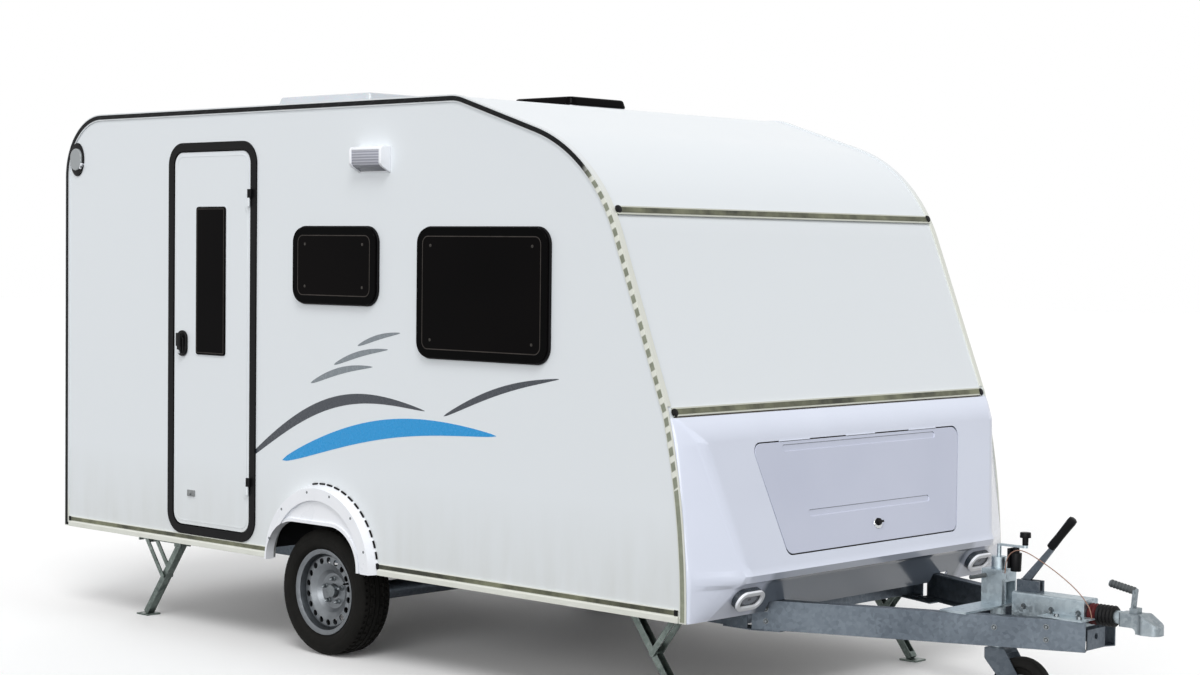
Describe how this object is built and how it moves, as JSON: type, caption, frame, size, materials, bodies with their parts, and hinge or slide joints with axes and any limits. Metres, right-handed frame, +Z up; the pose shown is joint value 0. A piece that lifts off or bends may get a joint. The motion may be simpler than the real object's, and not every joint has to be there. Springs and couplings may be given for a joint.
{
  "type": "travel caravan",
  "caption": "Small single-axle travel caravan with a side door, moulded front locker, rooflights, A-frame drawbar with overrun coupling, jockey wheel and corner steadies.",
  "frame": {"origin": "on the ground, in the middle of the overall length and width", "axes": "+X forward to the tow coupling, +Y to the left, +Z up"},
  "size_m": [5.67, 2.305, 2.63],
  "materials": {
    "body_white": "smooth white painted sheet",
    "moulding_white": "gloss moulded plastic, slightly lavender white",
    "trim_aluminium": "olive-grey anodised aluminium",
    "black_rubber": "satin black rubber",
    "tinted_pane": "dark tinted acrylic",
    "galvanised": "hot-dip galvanised steel",
    "tyre": "black tyre rubber",
    "rim_silver": "silver painted steel",
    "cast_iron": "bare cast iron",
    "black_plastic": "matt black plastic",
    "lamp_plastic": "clear and coloured lamp lenses",
    "white_plastic": "white moulded plastic",
    "roof_dome": "moulded rooflight dome",
    "floor_wood": "sealed plywood floor",
    "red_rubber": "dark rubber bellows",
    "cable_sheath": "steel cable in a reddish plastic sheath"
  },
  "bodies": {
    "caravan": {"side_wall_right": "body_white", "side_wall_left": "body_white", "rear_wall": "body_white", "roof_panel": "body_white", "front_wall": "body_white", "floor_panel": "floor_wood", "locker_bulkhead": "body_white", "front_moulding": "moulding_white", "seam_trims": "trim_aluminium", "awning_rails": "trim_aluminium", "skirt_rails": "trim_aluminium", "window_seals": "black_rubber", "windows": "tinted_pane", "door_frame": "black_rubber", "wheel_arch_trims": "white_plastic", "wheel_housings": "black_plastic", "rooflight_frames": "white_plastic", "awning_lamp": "lamp_plastic", "marker_lamps": "lamp_plastic", "rear_lamp_carrier": "white_plastic", "rear_lamps": "lamp_plastic", "chassis_rails": "galvanised", "drawbar_beams": "galvanised", "cross_members": "galvanised", "axle_tube": "galvanised", "suspension_arms": "galvanised", "overrun_housing": "galvanised", "drawbar_plates": "galvanised", "overrun_tube": "galvanised", "drawbar_bellows": "red_rubber", "breakaway_cable": "cable_sheath", "coupling_head": "galvanised", "coupling_handle": "galvanised", "handbrake_lever": "galvanised", "jockey_clamp": "galvanised", "steady_bases": "galvanised"},
    "wheel_right": {"tyre_right": "tyre", "wheel_rim_right": "rim_silver", "brake_drum_right": "cast_iron"},
    "wheel_left": {"tyre_left": "tyre", "wheel_rim_left": "rim_silver", "brake_drum_left": "cast_iron"},
    "entrance_door": {"door_leaf": "body_white", "door_window": "tinted_pane", "door_handle": "black_plastic"},
    "locker_lid": {"locker_lid": "moulding_white"},
    "rear_rooflight": {"rear_rooflight": "roof_dome"},
    "front_rooflight": {"front_rooflight": "tinted_pane"},
    "jockey_tube": {"jockey_tube": "galvanised"},
    "jockey_inner_tube": {"jockey_inner_tube": "galvanised"},
    "jockey_fork": {"jockey_fork": "galvanised"},
    "jockey_wheel": {"jockey_wheel": "black_rubber"},
    "steady_leg_rear_right": {"steady_leg_rear_right": "galvanised"},
    "steady_brace_rear_right": {"steady_brace_rear_right": "galvanised"},
    "steady_leg_rear_left": {"steady_leg_rear_left": "galvanised"},
    "steady_brace_rear_left": {"steady_brace_rear_left": "galvanised"},
    "steady_leg_front_right": {"steady_leg_front_right": "galvanised"},
    "steady_brace_front_right": {"steady_brace_front_right": "galvanised"},
    "steady_leg_front_left": {"steady_leg_front_left": "galvanised"},
    "steady_brace_front_left": {"steady_brace_front_left": "galvanised"}
  },
  "joints": [
    {"name": "right_wheel_spin", "type": "hinge", "parent": "caravan", "child": "wheel_right", "pos_m": [-0.81, -0.985, 0.289], "axis": [0, 1, 0], "continuous": true},
    {"name": "left_wheel_spin", "type": "hinge", "parent": "caravan", "child": "wheel_left", "pos_m": [-0.81, 0.985, 0.289], "axis": [0, 1, 0], "continuous": true},
    {"name": "entrance_door_hinge", "type": "hinge", "parent": "caravan", "child": "entrance_door", "pos_m": [-1.297, -1.117, 1.4], "axis": [0, 0, 1], "range_deg": [0, 150]},
    {"name": "locker_lid_hinge", "type": "hinge", "parent": "caravan", "child": "locker_lid", "pos_m": [1.40307, 0, 1.09484], "axis": [0, -1, 0], "range_deg": [0, 80]},
    {"name": "rear_rooflight_hinge", "type": "hinge", "parent": "caravan", "child": "rear_rooflight", "pos_m": [-1.45, 0, 2.5433], "axis": [0, 1, 0], "range_deg": [0, 50]},
    {"name": "front_rooflight_hinge", "type": "hinge", "parent": "caravan", "child": "front_rooflight", "pos_m": [-0.11, 0, 2.52], "axis": [0, 1, 0], "range_deg": [0, 50]},
    {"name": "jockey_clamp_slide", "type": "slide", "parent": "caravan", "child": "jockey_tube", "axis": [0, 0, 1], "range_m": [0, 0.1]},
    {"name": "jockey_screw_slide", "type": "slide", "parent": "jockey_tube", "child": "jockey_inner_tube", "axis": [0, 0, 1], "range_m": [-0.1, 0.02]},
    {"name": "jockey_castor_swivel", "type": "hinge", "parent": "jockey_inner_tube", "child": "jockey_fork", "pos_m": [2.095, 0, 0.28], "axis": [0, 0, 1], "continuous": true},
    {"name": "jockey_wheel_spin", "type": "hinge", "parent": "jockey_fork", "child": "jockey_wheel", "pos_m": [2.215, 0, 0.13], "axis": [0, 1, 0], "continuous": true},
    {"name": "rear_right_steady_fold", "type": "hinge", "parent": "caravan", "child": "steady_leg_rear_right", "pos_m": [-2.01, -0.955, 0.385], "axis": [0, 1, 0], "range_deg": [0, 42]},
    {"name": "rear_right_brace_fold", "type": "hinge", "parent": "steady_leg_rear_right", "child": "steady_brace_rear_right", "pos_m": [-2.13839, -0.955, 0.21254], "axis": [0, 1, 0], "range_deg": [-84, 0]},
    {"name": "rear_left_steady_fold", "type": "hinge", "parent": "caravan", "child": "steady_leg_rear_left", "pos_m": [-2.01, 0.955, 0.385], "axis": [0, 1, 0], "range_deg": [0, 42]},
    {"name": "rear_left_brace_fold", "type": "hinge", "parent": "steady_leg_rear_left", "child": "steady_brace_rear_left", "pos_m": [-2.13839, 0.955, 0.21254], "axis": [0, 1, 0], "range_deg": [-84, 0]},
    {"name": "front_right_steady_fold", "type": "hinge", "parent": "caravan", "child": "steady_leg_front_right", "pos_m": [0.85, -0.8, 0.385], "axis": [0, -1, 0], "range_deg": [0, 42]},
    {"name": "front_right_brace_fold", "type": "hinge", "parent": "steady_leg_front_right", "child": "steady_brace_front_right", "pos_m": [0.97839, -0.8, 0.21254], "axis": [0, -1, 0], "range_deg": [-84, 0]},
    {"name": "front_left_steady_fold", "type": "hinge", "parent": "caravan", "child": "steady_leg_front_left", "pos_m": [0.85, 0.8, 0.385], "axis": [0, -1, 0], "range_deg": [0, 42]},
    {"name": "front_left_brace_fold", "type": "hinge", "parent": "steady_leg_front_left", "child": "steady_brace_front_left", "pos_m": [0.97839, 0.8, 0.21254], "axis": [0, -1, 0], "range_deg": [-84, 0]}
  ],
  "couplings": [
    {"joint": "rear_right_brace_fold", "follows": "rear_right_steady_fold", "ratio": -2},
    {"joint": "rear_left_brace_fold", "follows": "rear_left_steady_fold", "ratio": -2},
    {"joint": "front_right_brace_fold", "follows": "front_right_steady_fold", "ratio": -2},
    {"joint": "front_left_brace_fold", "follows": "front_left_steady_fold", "ratio": -2}
  ]
}
